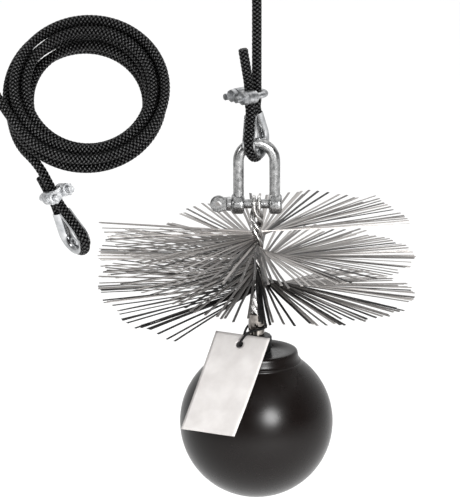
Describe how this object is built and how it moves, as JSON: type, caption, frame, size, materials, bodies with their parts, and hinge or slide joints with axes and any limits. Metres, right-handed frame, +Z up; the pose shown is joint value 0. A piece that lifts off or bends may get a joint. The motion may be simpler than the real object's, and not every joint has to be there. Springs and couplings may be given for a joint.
{
  "type": "chimney sweep brush",
  "caption": "Weighted flue brush: flat steel bristles in a twisted two-start screw surface over a coated ball, hung by a shackle from a roped eye with a coil of spare rope.",
  "frame": {"origin": "where the taut rope meets the bar or hand that it hangs from, at the start of its top bend", "axes": "+Z up along the taut rope, +X to the right in the picture's view, +Y away from the viewer"},
  "size_m": [0.2771, 0.2039, 0.3445],
  "materials": {
    "rope": "black braid, matt",
    "zinc_sheet": "zinc plated sheet",
    "zinc_clip": "zinc plated, cast look",
    "galvanised_shackle": "galvanised, mottled",
    "bright_wire": "bright drawn wire",
    "flat_steel": "cold rolled flat wire, satin",
    "plated_sleeve": "plated",
    "stud_steel": "plain steel",
    "black_nut": "black, satin",
    "ball_coat": "moulded black coat, satin",
    "ball_iron": "raw casting",
    "card": "coated card, bare",
    "tie_elastic": "thin black elastic"
  },
  "bodies": {
    "rope_and_coil": {"rope_eye": "rope", "rope_run": "rope", "rope_coil": "rope", "rope_end_run": "rope", "rope_eye_spare": "rope", "thimble": "zinc_sheet", "clip_saddle": "zinc_clip", "clip_u_bolt": "zinc_clip", "clip_nuts": "zinc_clip", "thimble_spare": "zinc_sheet", "clip_saddle_spare": "zinc_clip", "clip_u_bolt_spare": "zinc_clip", "clip_nuts_spare": "zinc_clip"},
    "shackle": {"shackle_bow": "galvanised_shackle"},
    "screw_pin": {"shackle_pin": "galvanised_shackle"},
    "brush": {"stem_wire_left": "bright_wire", "stem_wire_right": "bright_wire", "bristles_top": "flat_steel", "bristles_middle": "flat_steel", "bristles_bottom": "flat_steel", "stem_sleeve": "plated_sleeve", "stem_stud": "stud_steel"},
    "nut": {"lock_nut": "black_nut"},
    "ball": {"ball_shell": "ball_coat", "ball_core": "ball_iron", "ball_insert": "stud_steel"},
    "tie": {"tag_tie": "tie_elastic"},
    "tag": {"tag_card": "card"}
  },
  "joints": [
    {"name": "shackle_swing", "type": "hinge", "parent": "rope_and_coil", "child": "shackle", "pos_m": [0, 0, -0.0985], "axis": [1, 0, 0], "range_deg": [-20, 20]},
    {"name": "pin_turn", "type": "hinge", "parent": "shackle", "child": "screw_pin", "pos_m": [0, 0, -0.1382], "axis": [1, 0, 0], "continuous": true},
    {"name": "brush_swing", "type": "hinge", "parent": "shackle", "child": "brush", "pos_m": [0, 0, -0.1382], "axis": [1, 0, 0], "range_deg": [-45, 45]},
    {"name": "nut_turn", "type": "hinge", "parent": "brush", "child": "nut", "pos_m": [0, 0, -0.2343], "axis": [0, 0, 1], "continuous": true},
    {"name": "ball_turn", "type": "hinge", "parent": "brush", "child": "ball", "pos_m": [0, 0, -0.282], "axis": [0, 0, 1], "continuous": true},
    {"name": "tie_turn", "type": "hinge", "parent": "brush", "child": "tie", "pos_m": [0, 0, -0.2245], "axis": [0, 0, 1], "continuous": true},
    {"name": "tag_lift", "type": "hinge", "parent": "tie", "child": "tag", "pos_m": [-0.01104, -0.01619, -0.22628], "axis": [-0.8564, 0.516, -0.0198], "range_deg": [0, 40]}
  ]
}
